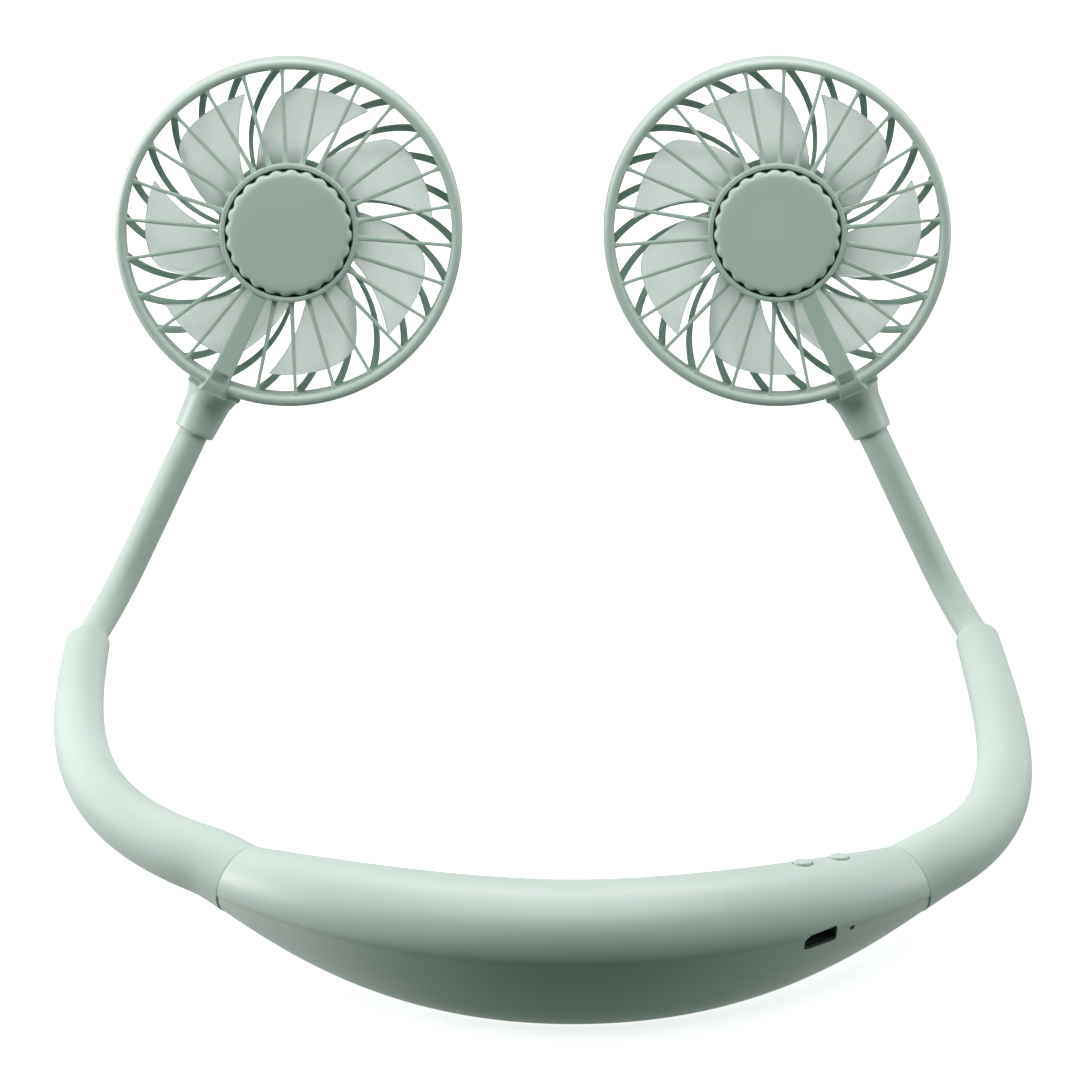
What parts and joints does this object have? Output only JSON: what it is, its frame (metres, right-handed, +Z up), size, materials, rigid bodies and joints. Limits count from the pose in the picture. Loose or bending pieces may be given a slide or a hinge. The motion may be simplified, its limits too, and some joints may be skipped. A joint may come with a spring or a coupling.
{
  "type": "neck fan",
  "caption": "Wearable neck fan: curved battery housing, silicone neck tubes and bendable arms that carry caged fan heads.",
  "frame": {"origin": "in the flat foot under the middle of the battery housing", "axes": "+X to the side that holds the buttons and socket, +Y from the housing towards the fan heads, +Z up"},
  "size_m": [0.2245, 0.2328, 0.1134],
  "materials": {
    "shell": "satin moulded ABS",
    "silicone": "soft matt silicone",
    "guard": "satin moulded ABS",
    "vane_guard": "satin moulded ABS",
    "cap": "satin moulded ABS",
    "blade": "slightly translucent moulded polypropylene",
    "steel": "plated steel",
    "motor_can": "drawn steel",
    "bronze": "sintered bronze",
    "core": "moulded core",
    "cell_foil": "laminated foil pouch",
    "foam": "closed-cell foam",
    "circuit_board": "solder mask",
    "port": "blackened steel shell",
    "light_lens": "clear light pipe",
    "switch": "moulded switch case",
    "wire": "PVC insulation"
  },
  "bodies": {
    "root": {"housing_upper_shell": "shell", "housing_lower_shell": "shell", "housing_screws": "steel", "battery_cell": "cell_foil", "battery_pad": "foam", "main_board": "circuit_board", "usb_socket": "port", "charge_led": "light_lens", "button_board": "circuit_board", "button_switches": "switch", "left_sleeve_root": "silicone", "right_sleeve_root": "silicone", "left_core_root": "core", "right_core_root": "core"},
    "left_button": {"left_fan_button": "shell"},
    "left_neck": {"left_neck_sleeve": "silicone", "left_neck_core": "core"},
    "left_arm_lower": {"left_arm_lower_sleeve": "silicone", "left_arm_lower_core": "steel"},
    "left_arm_upper": {"left_arm_upper_sleeve": "silicone", "left_arm_upper_core": "steel", "left_swivel_pin": "steel", "left_swivel_clip": "steel"},
    "left_head": {"left_stem_socket": "shell", "left_intake_guard": "guard", "left_outlet_guard": "vane_guard", "left_motor_cap": "cap", "left_motor": "motor_can", "left_motor_screws": "steel", "left_motor_lead": "wire", "left_shaft_bush": "bronze"},
    "left_rotor": {"left_impeller": "blade", "left_motor_shaft": "steel"},
    "right_button": {"right_fan_button": "shell"},
    "right_neck": {"right_neck_sleeve": "silicone", "right_neck_core": "core"},
    "right_arm_lower": {"right_arm_lower_sleeve": "silicone", "right_arm_lower_core": "steel"},
    "right_arm_upper": {"right_arm_upper_sleeve": "silicone", "right_arm_upper_core": "steel", "right_swivel_pin": "steel", "right_swivel_clip": "steel"},
    "right_head": {"right_stem_socket": "shell", "right_intake_guard": "guard", "right_outlet_guard": "vane_guard", "right_motor_cap": "cap", "right_motor": "motor_can", "right_motor_screws": "steel", "right_motor_lead": "wire", "right_shaft_bush": "bronze"},
    "right_rotor": {"right_impeller": "blade", "right_motor_shaft": "steel"}
  },
  "joints": [
    {"name": "left_button_press", "type": "slide", "parent": "root", "child": "left_button", "axis": [-0.0162, -0.4169, -0.9088], "range_m": [0, 0.0004], "stiffness_N_per_m": 600, "springref_m": -0.002},
    {"name": "left_neck_flex", "type": "hinge", "parent": "root", "child": "left_neck", "pos_m": [-0.08193, 0.03517, 0.013], "axis": [0, 0, 1], "range_deg": [-2, 12]},
    {"name": "left_arm_lift", "type": "hinge", "parent": "left_neck", "child": "left_arm_lower", "pos_m": [-0.11148, 0.1234, 0.0053], "axis": [0.9164, -0.4003, 0], "range_deg": [-12, 40]},
    {"name": "left_arm_swing", "type": "hinge", "parent": "left_arm_lower", "child": "left_arm_upper", "pos_m": [-0.10117, 0.14159, 0.01429], "axis": [0, -0.7986, 0.6018], "range_deg": [-2, 30]},
    {"name": "left_head_swivel", "type": "hinge", "parent": "left_arm_upper", "child": "left_head", "pos_m": [-0.0654, 0.18713, 0.07473], "axis": [0.4274, 0.5441, 0.722], "range_deg": [-90, 90]},
    {"name": "left_fan_spin", "type": "hinge", "parent": "left_head", "child": "left_rotor", "pos_m": [-0.0654, 0.18713, 0.07473], "axis": [0, -0.7986, 0.6018], "continuous": true},
    {"name": "right_button_press", "type": "slide", "parent": "root", "child": "right_button", "axis": [-0.0162, -0.4169, -0.9088], "range_m": [0, 0.0004], "stiffness_N_per_m": 600, "springref_m": -0.002},
    {"name": "right_neck_flex", "type": "hinge", "parent": "root", "child": "right_neck", "pos_m": [0.08193, 0.03517, 0.013], "axis": [0, 0, -1], "range_deg": [-2, 12]},
    {"name": "right_arm_lift", "type": "hinge", "parent": "right_neck", "child": "right_arm_lower", "pos_m": [0.09308, 0.1234, 0.0053], "axis": [0.9164, 0.4003, 0], "range_deg": [-12, 40]},
    {"name": "right_arm_swing", "type": "hinge", "parent": "right_arm_lower", "child": "right_arm_upper", "pos_m": [0.08277, 0.14159, 0.01429], "axis": [0, 0.7986, -0.6018], "range_deg": [-2, 30]},
    {"name": "right_head_swivel", "type": "hinge", "parent": "right_arm_upper", "child": "right_head", "pos_m": [0.047, 0.18713, 0.07473], "axis": [-0.4274, 0.5441, 0.722], "range_deg": [-90, 90]},
    {"name": "right_fan_spin", "type": "hinge", "parent": "right_head", "child": "right_rotor", "pos_m": [0.047, 0.18713, 0.07473], "axis": [0, -0.7986, 0.6018], "continuous": true}
  ]
}
